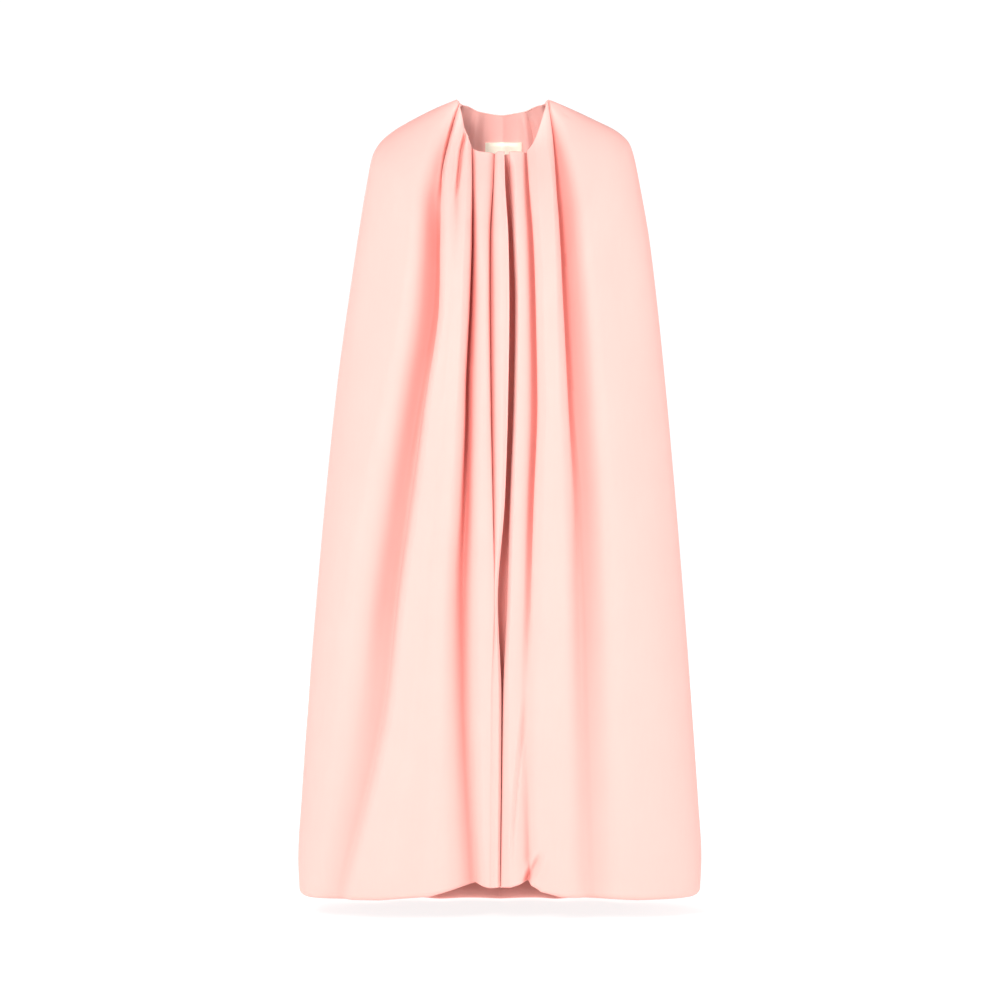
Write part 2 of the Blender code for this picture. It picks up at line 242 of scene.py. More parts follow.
BACK_LEFT = (
    CENTRE_BACK._replace(faces=4),
    Fold(
        "inner pleat", (-21, -23, -26, -28, -30, -32, -35, -38, -42, -47),
        (1, 2, 4, 5, 5, 6, 6, 6, 7, 8), 4, 20, 0, 1.3,
    ),
    Fold(
        "inner valley", (-36, -40, -47, -52, -57, -64, -72, -80, -88, -101),
        (-2, -4, -6, -8, -9, -10, -11, -12, -13, -14), 4, 20,
    ),
    Fold(
        "outer pleat", (-48, -55, -68, -77, -84, -96, -108, -121, -133, -155),
        (2, 3, 5, 6, 7, 8, 8, 9, 9, 9), 4, 20, 0, 1.3,
    ),
    Fold(
        "outer valley", (-60, -76, -92, -104, -115, -131, -147, -164, -180, -208),
        (-2, -5, -9, -12, -14, -15, -16, -16, -16, -15), 4, 20,
    ),
    Fold(
        "outer swell", (-69, -100, -122, -139, -154, -180, -204, -222, -238, -262),
        (0, 0, 1, 2, 3, 4, 5, 6, 8, 10), 5, 20, 0, 1.3,
    ),
    Fold("side seam", None, (0,) * 10, 0, 22, 0, 1.2),
)


class Axis(Enum):
    """The coordinate that places a crease: X on the front and back, Y on the sides."""

    X = 0
    Y = 1


class Crease(NamedTuple):
    """A small ridge (depth above 0) or trough (below 0) laid on the folds, in millimetres.

    path holds (drop, place) pairs from its top to its bottom. width is its half width, bank the
    share of its depth that the cloth beside it rises, and crisp sharpens its bottom: 2 is soft.
    """

    name: str
    path: tuple[tuple[float, float], ...]
    width: float
    depth: float
    bank: float = 0.0
    crisp: float = 2.0
    axis: Axis = Axis.X


# A crease's banks lie this many half widths beside it and are this sharp. It fades in about its
# top and out about its bottom over these shares of its length, and on cloth that faces away.
BANK_AT, BANK_SHARP = 1.9, 1.4
FADE_IN, FADE_OUT = (-0.12, 0.25), (-0.35, 0.15)
FACING_BEND = 1.5

FRONT_LEFT_CREASES: tuple[Crease, ...] = (
    Crease("neck tuck", ((48, -52), (62, -55), (87, -62), (125, -65), (165, -70)), 2.4, -6.0, 0.3, 1.3),
    Crease("shoulder line", ((14, -66), (52, -77), (98, -87), (160, -94)), 2.2, -13.0, 0.1, 1.3),
    Crease("outer drag", ((150, -150), (330, -190), (640, -236)), 26, -2.2, 0.4),
    Crease("side sag", ((300, -60), (640, -74), (1000, -96)), 24, -3.0, 0.3, 2.0, Axis.Y),
    Crease("broad ripple", ((420, -118), (700, -158), (960, -206)), 15, -1.6, 0.4),
)

FRONT_RIGHT_CREASES: tuple[Crease, ...] = (
    Crease("neck hold", ((56, 9), (112, 14)), 7.0, 9.0, 0.0, 2.0),
    Crease("shoulder crease", ((8, 88), (20, 100), (34, 113)), 5.0, -1.3, 0.4, 1.6),
    Crease("outer drag", ((170, 160), (360, 196), (700, 226)), 28, -2.0, 0.4),
    Crease("side sag", ((340, -70), (700, -84), (1040, -90)), 26, -2.6, 0.3, 2.0, Axis.Y),
    Crease(
        "hem crease", ((1190, 62), (1206, 55), (1222, 47), (1240, 37), (1262, 24)),
        4.5, -8.0, 0.3, 1.3,
    ),
    Crease(
        "strip crease", ((955, 38), (1020, 32), (1080, 26), (1150, 21), (1200, 18)),
        3.0, -3.4, 0.3, 1.4,
    ),
)

BACK_RIGHT_CREASES: tuple[Crease, ...] = (
    Crease("collar pleat", ((14, 43), (40, 50), (64, 55), (92, 57)), 4.5, 5.5, 0.3, 1.4),
    Crease("blade drag", ((90, 120), (260, 150), (470, 168)), 20, -2.2, 0.4),
    Crease("side sag", ((300, 60), (640, 78), (1000, 100)), 22, -3.0, 0.3, 2.0, Axis.Y),
)

BACK_LEFT_CREASES: tuple[Crease, ...] = (
    Crease("collar tuck", ((30, -52), (64, -58), (110, -66)), 4.0, -2.0, 0.3, 1.6),
    Crease("blade drag", ((100, -126), (300, -160), (520, -180)), 22, -2.0, 0.4),
    Crease("side sag", ((320, 64), (700, 84), (1060, 104)), 24, -2.8, 0.3, 2.0, Axis.Y),
)


# ---------------------------------------------------------------- small helpers


def smooth_through(places: Any, values: Any, at: Any) -> np.ndarray:
    """A smooth curve through a table's values that never overshoots them.

    Args:
        places: where the values are given, rising.
        values: the values there.
        at: where the curve is read.

    Returns:
        The curve's values at those places.
    """
    places = np.asarray(places, float)
    values = np.asarray(values, float)
    steps = np.diff(places)
    slopes = np.diff(values) / steps
    tangents = np.empty(len(values))
    tangents[0], tangents[-1] = slopes[0], slopes[-1]
    for i in range(1, len(values) - 1):
        before, after = slopes[i - 1], slopes[i]
        tangents[i] = 0 if before * after <= 0 else 2 * before * after / (before + after)
    at = np.clip(at, places[0], places[-1])
    k = np.clip(np.searchsorted(places, at) - 1, 0, len(steps) - 1)
    t = (at - places[k]) / steps[k]
    rise = t * t * (3 - 2 * t) * (values[k + 1] - values[k])
    start_pull = t * (1 - t) ** 2 * steps[k] * tangents[k]
    end_pull = -t * t * (1 - t) * steps[k] * tangents[k + 1]
    return values[k] + rise + start_pull + end_pull


def smoothstep(low: float, high: float, at: Any) -> Any:
    """0 below low, 1 above high, and a smooth rise between."""
    t = np.clip((at - low) / (high - low), 0, 1)
    return t * t * (3 - 2 * t)


def unit(vectors: np.ndarray) -> np.ndarray:
    """The vectors of an array, each made one long."""
    return vectors / np.linalg.norm(vectors, axis=-1, keepdims=True)


def link(name: str, mesh: bpy.types.Mesh) -> bpy.types.Object:
    """A new object of a mesh, in the scene."""
    obj = bpy.data.objects.new(name, mesh)
    bpy.context.scene.collection.objects.link(obj)
    return obj


# ---------------------------------------------------------------- shader wrappers


class Sock:
    """A node's output, with Python's operators as Math nodes."""

    def __init__(self, tree: "Shading", value: bpy.types.NodeSocket) -> None:
        """Wraps an output socket of a tree."""
        self.tree = tree
        self.value = value

    def _math(self, operation: str, *others: Any, first: Any = None) -> "Sock":
        """One Math node on this value and others."""
        inputs = [self if first is None else first, *others]
        return self.tree.node("ShaderNodeMath", {"operation": operation}, dict(enumerate(inputs)))

    def __add__(self, other: Any) -> "Sock":
        """Sum."""
        return self._math("ADD", other)

    __radd__ = __add__

    def __sub__(self, other: Any) -> "Sock":
        """Difference."""
        return self._math("SUBTRACT", other)

    def __rsub__(self, other: Any) -> "Sock":
        """Difference from a number."""
        return self._math("SUBTRACT", self, first=other)

    def __mul__(self, other: Any) -> "Sock":
        """Product."""
        return self._math("MULTIPLY", other)

    __rmul__ = __mul__

    def sine(self) -> "Sock":
        """Sine of radians."""
        return self._math("SINE")


class Shading:
    """A material's node tree, built through one method for every node."""

    def __init__(self, name: str) -> None:
        """Makes an empty material."""
        self.material = bpy.data.materials.new(name)
        self.material.use_nodes = True
        self.nodes = self.material.node_tree.nodes
        self.links = self.material.node_tree.links
        self.nodes.clear()

    def node(
        self, kind: str, settings: dict[str, Any], inputs: dict[Any, Any], output: Any = 0
    ) -> Sock:
        """Adds a node.

        Args:
            kind: the node's type.
            settings: its properties, set before its sockets.
            inputs: values or Socks by socket name or number.
            output: the output to return, by name or number.

        Returns:
            That output, wrapped.
        """
        made = self.nodes.new(kind)
        for key, value in settings.items():
            setattr(made, key, value)
        for key, value in inputs.items():
            socket = made.inputs[key]
            if isinstance(value, Sock):
                self.links.new(value.value, socket)
            else:
                socket.default_value = value
        return Sock(self, made.outputs[output])

    def mix(self, factor: Any, first: Any, second: Any) -> Sock:
        """A colour between two others."""
        return self.node(
            "ShaderNodeMix",
            {"data_type": "RGBA", "clamp_factor": True},
            {0: factor, 6: first, 7: second},
            output=2,
        )

    def noise(self, vector: Sock, scale: float, detail: float = 2.0, roughness: float = 0.5) -> Sock:
        """Smooth noise from 0 to 1."""
        return self.node(
            "ShaderNodeTexNoise",
            {"noise_dimensions": "3D"},
            {"Vector": vector, "Scale": scale, "Detail": detail, "Roughness": roughness},
        )

    def finish(self, surface: Sock) -> bpy.types.Material:
        """Joins the surface to the output and returns the material."""
        output = self.nodes.new("ShaderNodeOutputMaterial")
        self.links.new(surface.value, output.inputs["Surface"])
        return self.material


# ---------------------------------------------------------------- finishes


@dataclass(frozen=True)
class CrepeFinish:
    """Heavy matt crepe: a pebbled plain weave with a soft bloom, and painted shade that darkens and
    reddens the colour in the folds' valleys.
    """

    name: str = "blush_crepe"
    light: Colour = (0.950, 0.520, 0.470, 1)
    deep: Colour = (0.930, 0.475, 0.430, 1)
    # painted shade: the darker, redder pink mixed into the folds' valleys in place of their shadow and
    # the light bounced between them; the share is how much a full valley gets
    hollow: Colour = (0.800, 0.270, 0.235, 1)
    painted_shade_share: float = 0.92
    thread_pitch: float = 0.00062
    thread_drift: float = 0.9
    drift_size: float = 0.004
    pebble: float = 0.0016
    slub: float = 0.006
    slub_run: float = 0.12
    cloud: float = 0.11
    roughness: float = 0.86
    rough_range: float = 0.10
    bump_height: float = 0.00022
    bump_strength: float = 0.30
    specular: float = 0.22
    sheen: float = 0.12
    sheen_roughness: float = 0.45
    sheen_tint: Colour = (1.0, 0.88, 0.84, 1)

    def material(self) -> bpy.types.Material:
        """Builds the node material.

        Returns:
            The crepe, whose pattern lies on the piece's own UV map in metres.
        """
        tree = Shading(self.name)
        cloth = tree.node("ShaderNodeUVMap", {"uv_map": "cloth"}, {})
        # The painted shade's mask: how deep in a valley each point lies, carried on the mesh.
        depth = tree.node("ShaderNodeAttribute", {"attribute_name": "hollow"}, {}, output="Fac")
        drift = tree.noise(cloth, 1 / self.drift_size, 1.0)
        u = tree.node("ShaderNodeSeparateXYZ", {}, {0: cloth}, output=0)
        v = tree.node("ShaderNodeSeparateXYZ", {}, {0: cloth}, output=1)
        turn = 2 * math.pi / self.thread_pitch
        wander = (drift - 0.5) * (self.thread_drift * self.thread_pitch)
        warp = ((u + wander) * turn).sine()
        weft = ((v - wander) * turn).sine()
        weave = warp * weft * 0.5 + 0.5
        pebbles = tree.noise(cloth, 1 / self.pebble, 3.0, 0.6)
        run = (1.0, self.slub_run, 1.0)
        drawn = tree.node("ShaderNodeMapping", {}, {"Vector": cloth, "Scale": run})
        slubs = tree.noise(drawn, 1 / self.slub, 2.0)
        clouds = tree.noise(cloth, 1 / self.cloud, 2.0, 0.6)
        tone = clouds * 0.55 + slubs * 0.30 + pebbles * 0.25 - 0.05
        cloth_tone = tree.mix(tone, self.light, self.deep)
        # Painted shade: the colour goes darker and redder with the valley depth.
        colour = tree.mix(depth * self.painted_shade_share, cloth_tone, self.hollow)
        relief = pebbles * 0.62 + weave * 0.28 + slubs * 0.10
        normal = tree.node(
            "ShaderNodeBump",
            {},
            {"Strength": self.bump_strength, "Distance": self.bump_height, "Height": relief},
        )
        rough = pebbles * self.rough_range + (self.roughness - self.rough_range / 2)
        surface = tree.node(
            "ShaderNodeBsdfPrincipled",
            {},
            {
                "Base Color": colour,
                "Roughness": rough,
                "Normal": normal,
                "Specular IOR Level": self.specular,
                "Sheen Weight": self.sheen,
                "Sheen Roughness": self.sheen_roughness,
                "Sheen Tint": self.sheen_tint,
            },
        )
        return tree.finish(surface)


@dataclass(frozen=True)
class TapeFinish:
    """Cream woven label tape: fine cross ribs over finer ends, and a slight satin."""

    name: str = "cream_tape"
    light: Colour = (0.950, 0.905, 0.755, 1)
    deep: Colour = (0.885, 0.820, 0.665, 1)
    rib: float = 0.00045
    end_share: float = 0.8
    fuzz: float = 0.0009
    roughness: float = 0.55
    rough_range: float = 0.12
    bump_height: float = 0.00012
    bump_strength: float = 0.35
    specular: float = 0.4
    sheen: float = 0.1

    def material(self) -> bpy.types.Material:
        """Builds the node material of the tape, on its own UV map in metres."""
        tree = Shading(self.name)
        cloth = tree.node("ShaderNodeUVMap", {"uv_map": "cloth"}, {})
        u = tree.node("ShaderNodeSeparateXYZ", {}, {0: cloth}, output=0)
        v = tree.node("ShaderNodeSeparateXYZ", {}, {0: cloth}, output=1)
        fine = tree.noise(cloth, 1 / self.fuzz, 2.0)
        ribs = (v * (2 * math.pi / self.rib)).sine() * 0.5 + 0.5
        ends = (u * (2 * math.pi / (self.rib * self.end_share))).sine() * 0.5 + 0.5
        weave = ribs * 0.6 + ends * 0.25 + fine * 0.3
        colour = tree.mix(weave * 0.45, self.light, self.deep)
        normal = tree.node(
            "ShaderNodeBump",
            {},
            {"Strength": self.bump_strength, "Distance": self.bump_height, "Height": weave},
        )
        surface = tree.node(
            "ShaderNodeBsdfPrincipled",
            {},
            {
                "Base Color": colour,
                "Roughness": fine * self.rough_range + (self.roughness - self.rough_range / 2),
                "Normal": normal,
                "Specular IOR Level": self.specular,
                "Sheen Weight": self.sheen,
            },
        )
        return tree.finish(surface)


@dataclass(frozen=True)
class ThreadFinish:
    """Twisted sewing thread."""

    name: str
    light: Colour
    deep: Colour
    twist: float = 0.0004
    fuzz: float = 0.0005
    roughness: float = 0.5
    rough_range: float = 0.2
    bump_height: float = 0.0001
    bump_strength: float = 0.3
    sheen: float = 0.2

    def material(self) -> bpy.types.Material:
        """Builds the node material, twisted along Object coordinates."""
        tree = Shading(self.name)
        place = tree.node("ShaderNodeTexCoord", {}, {}, output="Object")
        x = tree.node("ShaderNodeSeparateXYZ", {}, {0: place}, output=0)
        z = tree.node("ShaderNodeSeparateXYZ", {}, {0: place}, output=2)
        plies = ((x + z) * (2 * math.pi / self.twist)).sine() * 0.5 + 0.5
        fuzz = tree.noise(place, 1 / self.fuzz, 2.0)
        colour = tree.mix(plies * 0.6 + fuzz * 0.3, self.light, self.deep)
        normal = tree.node(
            "ShaderNodeBump",
            {},
            {"Strength": self.bump_strength, "Distance": self.bump_height, "Height": plies},
        )
        surface = tree.node(
            "ShaderNodeBsdfPrincipled",
            {},
            {
                "Base Color": colour,
                "Roughness": fuzz * self.rough_range + self.roughness,
                "Normal": normal,
                "Sheen Weight": self.sheen,
            },
        )
        return tree.finish(surface)


@dataclass(frozen=True)
class FloorFinish:
    """Pale painted studio floor: lifted to white where it is seen, plain in the light it gives."""

    name: str = "studio_floor"
    seen: Colour = (0.27, 0.27, 0.27, 1)
    plain: Colour = (0.86, 0.85, 0.84, 1)
    lift: float = 0.85
    glow: float = 0.5
    fleck: Colour = (0.9, 0.9, 0.9, 1)
    fleck_scale: float = 60.0
    fleck_share: float = 0.1
    roughness: float = 0.9

    def material(self) -> bpy.types.Material:
        """Builds the floor's material."""
        tree = Shading(self.name)
        place = tree.node("ShaderNodeTexCoord", {}, {}, output="Object")
        grain = tree.noise(place, self.fleck_scale, 2.0) * self.fleck_share
        faces = [
            tree.node(
                "ShaderNodeBsdfPrincipled",
                {},
                {
                    "Base Color": tree.mix(grain, colour, self.fleck),
                    "Roughness": self.roughness,
                    "Specular IOR Level": 0.0,
                    "Emission Color": (1, 1, 1, 1),
                    "Emission Strength": lift,
                },
            )
            for colour, lift in ((self.plain, self.glow), (self.seen, self.lift))
        ]
        looked_at = tree.node("ShaderNodeLightPath", {}, {}, output="Is Camera Ray")
        both = tree.node("ShaderNodeMixShader", {}, {0: looked_at, 1: faces[0], 2: faces[1]})
        return tree.finish(both)


CREPE = CrepeFinish()
TAPE = TapeFinish()
CLOTH_THREAD = ThreadFinish("blush_thread", (0.93, 0.60, 0.53, 1), (0.84, 0.47, 0.41, 1))
LABEL_THREAD = ThreadFinish("cream_thread", (0.96, 0.93, 0.80, 1), (0.80, 0.74, 0.60, 1))


# ---------------------------------------------------------------- the worn form


@dataclass
class WornForm:
    """The stack of rings that the cloth hangs in, from neckline to hem."""

    rings: Sequence[Ring] = RINGS
    neck_drop: float = 0.091
    hem_drop: float = 1.255
    steps: int = 180
    crowding: float = 1.6

    def points(self, drop: float, angles: np.ndarray) -> np.ndarray:
        """Points on the ring at a drop.

        Args:
            drop: how far the ring lies below the shoulders at the centre front.
            angles: 0 at the centre front and a quarter turn at the right side.

        Returns:
            One point for each angle.
        """
        size = {}
        places = [ring.front_drop * MM for ring in self.rings]
        for name in Ring._fields:
            scale = MM if name in RING_LENGTHS else 1
            values = [getattr(ring, name) * scale for ring in self.rings]
            size[name] = smooth_through(places, values, drop)
        ring = Ring(**size)
        sine, cosine = np.sin(angles), np.cos(angles)
        bend = 2 / ring.square
        across = np.where(sine > 0, ring.right, ring.left) * np.sign(sine) * np.abs(sine) ** bend
        deep = -np.where(cosine > 0, ring.front, ring.back) * np.sign(cosine) * np.abs(cosine) ** bend
        end_drop = np.where(cosine > 0, ring.front_drop, ring.back_drop)
        rounding = np.where(cosine > 0, ring.front_round, ring.back_round)
        settle = np.where(cosine > 0, ring.front_settle, ring.back_settle)
        fall = 1 - (1 - np.abs(cosine) ** rounding) ** settle
        down = ring.side_drop + (end_drop - ring.side_drop) * fall
        return np.stack([across, deep, -down], axis=1)

    def half(self, drop: float, front: bool) -> tuple[np.ndarray, np.ndarray, np.ndarray]:
        """Half a ring.

        Args:
            drop: the ring's drop.
            front: the front half, or the back one.

        Returns:
            Its points, the directions onwards and the distances along, from its first seam.
        """
        steps = np.linspace(-1, 1, self.steps + 1)
        sweep = math.pi / 2 * np.sign(steps) * (1 - (1 - np.abs(steps)) ** self.crowding)
        past = sweep[1] - sweep[0]
        sweep = np.concatenate([[sweep[0] - past], sweep, [sweep[-1] + past]])
        points = self.points(drop, (0 if front else math.pi) + sweep)
        onwards = unit(points[2:] - points[:-2])
        points = points[1:-1]
        lengths = np.linalg.norm(np.diff(points, axis=0), axis=1)
        return points, onwards, np.concatenate([[0], np.cumsum(lengths)])


@dataclass
class NeckRoll:
    """How the neckline curls inwards: softly at the centre, round the shoulders in full."""

    radius: float = 0.003
    shoulder_radius: float = 0.0035
    angle: float = 0.9
    shoulder_angle: float = 2.4
    shoulder_span: tuple[float, float] = (0.036, 0.064)
    rows: int = 8

    def curl(self, edge: np.ndarray, up: np.ndarray, out: np.ndarray) -> list[np.ndarray]:
        """Rows that carry the neck edge inwards.

        Args:
            edge: the neckline's points.
            up: the cloth's direction upwards there.
            out: its direction outwards.

        Returns:
            Rows from the last of the curl down to the one beside the edge.
        """
        shoulder = smoothstep(*self.shoulder_span, np.abs(edge[:, 0]))
        radius = (self.radius + (self.shoulder_radius - self.radius) * shoulder)[:, None]
        most = (self.angle + (self.shoulder_angle - self.angle) * shoulder)[:, None]
        rows = []
        for k in range(self.rows, 0, -1):
            angle = most * k / self.rows
            rows.append(edge + radius * (np.sin(angle) * up - (1 - np.cos(angle)) * out))
        return rows


@dataclass
class SewnHem:
    """The hem: a soft roll under, then cloth that runs up inside and is stitched to the wall."""

    roll_rows: int = 9
    roll_angle: float = 160.0
    run_up: float = 0.030
    run_rows: int = 8
    rest_gap: float = 0.0055
    clearance: float = 0.97
    near_rows: int = 60

    def turn(self, wall: np.ndarray, out: np.ndarray, reaches: np.ndarray) -> list[np.ndarray]:
        """Rows that carry the hem edge under and up.

        Args:
            wall: the panel's rows, the hem edge last.
            out: directions outwards at the hem.
            reaches: how far the roll reaches inwards, for each column.

        Returns:
            The rows after the hem edge.
        """
        edge = wall[-1]
        inwards = unit(-out * np.array([1, 1, 0]))
        up = np.array([0.0, 0.0, 1.0])
        radii = reaches[:, None] / 2
        rows = []
        for k in range(1, self.roll_rows + 1):
            angle = math.radians(self.roll_angle * k / self.roll_rows)
            rows.append(edge + radii * ((1 - math.cos(angle)) * inwards - math.sin(angle) * up))
        # Up the wall: the same heights above the hem, column by column.
        near = wall[::-1][: self.near_rows]
        climb = np.cumsum(np.linalg.norm(np.diff(near, axis=0), axis=2), axis=0)
        climb = np.concatenate([np.zeros((1, climb.shape[1])), climb])
        most = reaches[:, None] * self.clearance
        for k in range(1, self.run_rows + 1):
            height = self.run_up * k / self.run_rows
            place = np.empty_like(edge)
            for c in range(edge.shape[0]):
                for axis in range(3):
                    place[c, axis] = np.interp(height, climb[:, c], near[:, c, axis])
            closing = smoothstep(0, 1, k / self.run_rows)
            reach = most * (1 - closing) + self.rest_gap * closing
            rows.append(place + np.minimum(reach, most) * inwards)
        return rows


# ---------------------------------------------------------------- cloth panels


RIM = 3  # columns that round a free edge between the two skins


@dataclass(frozen=True)
class ValleyMeasure:
    """How far about a point its valley is looked for, and how deep a full one is, in metres. Its share
    sets how much painted shade the crepe lays on a point.
    """

    far: tuple[float, ...] = (0.015, 0.025, 0.034, 0.044, 0.055)
    near: tuple[float, ...] = (0.003, 0.006, 0.009, 0.012)
    wide_full: float = 0.027
    wide_bend: float = 1.2
    wide_share: float = 0.58
    narrow_full: float = 0.012

    def wide(self, along: np.ndarray, height: np.ndarray) -> np.ndarray:
        """How far each point lies under the cloth about it, by its mean and its highest."""
        steps = [-step for step in reversed(self.far)] + list(self.far)
        around = np.stack([np.interp(along + step, along, height) for step in steps])
        return (around.mean(axis=0) + around.max(axis=0)) / 2 - height

    def narrow(self, along: np.ndarray, height: np.ndarray) -> np.ndarray:
        """How far each point lies under the lower of the two banks close to it."""
        banks = [
            np.stack([np.interp(along + side * step, along, height) for step in self.near]).max(axis=0)
            for side in (-1, 1)
        ]
        return np.minimum(*banks) - height

    def share(self, along: np.ndarray, height: np.ndarray) -> np.ndarray:
        """How deep in a valley each point of a row lies, from 0 to 1."""
        wide = np.clip(self.wide(along, height) / self.wide_full, 0, 1) ** self.wide_bend
        narrow = np.clip(self.narrow(along, height) / self.narrow_full, 0, 1)
        return self.wide_share * wide + (1 - self.wide_share) * narrow


@dataclass
class ClothPanel:
    """One cut panel of the cape, hung in its folds."""

    name: str
    node: str
    folds: Sequence[Fold]
    creases: Sequence[Crease]
    front: bool
    flat: tuple[float, float]
    area: float
    fine: int = 6
    rows: int = 226
    crowding: float = 1.3
    cloth: float = 0.0018
    seam_gap: float = 0.0001
    seam_dip: float = 0.0012
    seam_reach: float = 0.0035
    fold_room: float = 0.0035
    tilt_reach: float = 0.002
    edge_bulge: float = 0.9
    form: WornForm = field(default_factory=WornForm)
    neck: NeckRoll = field(default_factory=NeckRoll)
    hem: SewnHem = field(default_factory=SewnHem)
    valley: ValleyMeasure = field(default_factory=ValleyMeasure)
    lift_from: float = 1.08

    outer: np.ndarray = field(init=False)
    inner: np.ndarray = field(init=False)
    across: np.ndarray = field(init=False)
    heights: np.ndarray = field(init=False)
    normals: np.ndarray = field(init=False)
    hem_row: int = field(init=False, default=0)

    def row_drops(self) -> list[float]:
        """Drops of the rows between neckline and hem."""
        span = self.form.hem_drop - self.form.neck_drop
        shares = [(r / self.rows) ** self.crowding for r in range(self.rows + 1)]
        return [self.form.neck_drop + span * share for share in shares]

    def fold_places(self, points: np.ndarray, along: np.ndarray) -> list[float]:
        """Distances along a ring at which it crosses the fold lines."""
        heights = -points[:, 2]
        stations = [station * MM for station in STATIONS]
        sign = 1 if self.front else -1
        places: list[float] = []
        for i, fold in enumerate(self.folds):
            if fold.x is None:
                place = 0.0 if i == 0 else float(along[-1])
            else:
                line = smooth_through(stations, [value * MM for value in fold.x], heights)
                place = float(np.interp(0, sign * (points[:, 0] - line), along))
            places.append(place)
        for i in range(1, len(places)):
            places[i] = max(places[i], places[i - 1] + self.fold_room)
        places[-1] = min(places[-1], float(along[-1]))
        for i in reversed(range(len(places) - 1)):
            places[i] = min(places[i], places[i + 1] - self.fold_room)
        for i, gap in ((0, self.seam_gap / 2), (-1, -self.seam_gap / 2)):
            if "seam" in self.folds[i].name:
                places[i] += gap
        return places

    def section(self, points: np.ndarray, along: np.ndarray) -> np.ndarray:
        """The panel's columns on one ring.

        Args:
            points: the ring's points.
            along: distances along it.

        Returns:
            For each column its distance along, height out, hem lift and hem turn.
        """
        places = self.fold_places(points, along)
        stations = [station * MM for station in STATIONS]
        below = -np.interp(places, along, points[:, 2])
        heights = [
            float(smooth_through(stations, [value * MM for value in fold.out], drop))
            for fold, drop in zip(self.folds, below)
        ]
        parts = []
        for i, (fold, following) in enumerate(zip(self.folds[:-1], self.folds[1:])):
            width = places[i + 1] - places[i]
            rise = heights[i + 1] - heights[i]
            leaning, drop = (fold, below[i]) if rise < 0 else (following, below[i + 1])
            lean = float(smooth_through(stations, leaning.lean, drop)) if leaning.lean else 0.0
            lean = max(0.0, lean) if rise < 0 else min(0.0, lean)
            share = np.arange(fold.faces * self.fine) / (fold.faces * self.fine)
            eased = (1 - (1 - share) ** following.broad) ** fold.broad
            gone = eased * eased * (3 - 2 * eased)
            parts.append(
                np.stack(
                    [
                        places[i] + width * (share + lean * np.sin(math.pi * gone)),
                        heights[i] + rise * gone,
                        fold.lift + (following.lift - fold.lift) * share,
                        fold.turn + (following.turn - fold.turn) * share,
                    ],
                    axis=1,
                )
            )
        last = self.folds[-1]
        parts.append(np.array([[places[-1], heights[-1], last.lift, last.turn]]))
        return np.concatenate(parts)

    def base_row(self, drop: float, places: np.ndarray) -> list[np.ndarray]:
        """Points of the form at distances along a ring, with directions out and onwards."""
        points, onwards, along = self.form.half(drop, self.front)
        near = min(drop + self.tilt_reach, self.form.hem_drop)
        above, below = (
            self.form.half(place, self.front)[0] for place in (near - 2 * self.tilt_reach, near)
        )
        normals = np.cross(below - above, onwards)
        rows = []
        for values in (points, normals, onwards):
            read = [np.interp(places, along, values[:, axis]) for axis in range(3)]
            rows.append(np.stack(read, axis=1))
        return [rows[0], unit(rows[1]), unit(rows[2])]

    def crease_heights(self, points: np.ndarray, out: np.ndarray) -> np.ndarray:
        """What the creases add to the height of some points.

        Args:
            points: points of the panel.
            out: the form's directions outwards there.

        Returns:
            Heights in metres.
        """
        total = np.zeros(points.shape[:-1])
        drop = -points[..., 2]
        for crease in self.creases:
            drops = [d * MM for d, _ in crease.path]
            line = smooth_through(drops, [p * MM for _, p in crease.path], drop)
            (top, top_place), (bottom, bottom_place) = crease.path[0], crease.path[-1]
            slope = (bottom_place - top_place) / (bottom - top)
            away = (points[..., crease.axis.value] - line) / math.hypot(1, slope)
            q = np.abs(away) / (crease.width * MM)
            bank = crease.bank * np.exp(-((q - BANK_AT) ** 2) * BANK_SHARP)
            profile = np.exp(-(q**crease.crisp)) - bank
            length = drops[-1] - drops[0]
            begun = smoothstep(*(drops[0] + share * length for share in FADE_IN), drop)
            ended = smoothstep(*(drops[-1] + share * length for share in FADE_OUT), drop)
            fade = begun * (1 - ended)
            facing = np.abs(out[..., 1 - crease.axis.value]) ** FACING_BEND
            total += crease.depth * MM * profile * fade * facing
        return total

    def shape(self) -> None:
        """Works out the panel's outer and inner skins."""
        base, outs, onwards, heights, alongs = [], [], [], [], []
        for drop in self.row_drops():
            points, _, along = self.form.half(drop, self.front)
            places, height, lifts, turns = self.section(points, along).T
            row, out, onward = self.base_row(drop, places)
            rising = max(0.0, (drop - self.lift_from) / (self.form.hem_drop - self.lift_from))
            row[:, 2] += lifts * MM * rising**2
            base.append(row)
            outs.append(out)
            onwards.append(onward)
            heights.append(height)
            alongs.append(places)
        base_grid, out_grid = np.array(base), np.array(outs)
        height_grid, along_grid = np.array(heights), np.array(alongs)
        for column in (-1, 0):
            if "seam" in self.folds[column].name:
                away = np.abs(along_grid - along_grid[:, column][:, None])
                dip = self.seam_dip * np.exp(-((away / self.seam_reach) ** 1.5))
                height_grid = height_grid - dip
        plain = base_grid + height_grid[..., None] * out_grid
        height_grid = height_grid + self.crease_heights(plain, out_grid)
        wall = base_grid + height_grid[..., None] * out_grid

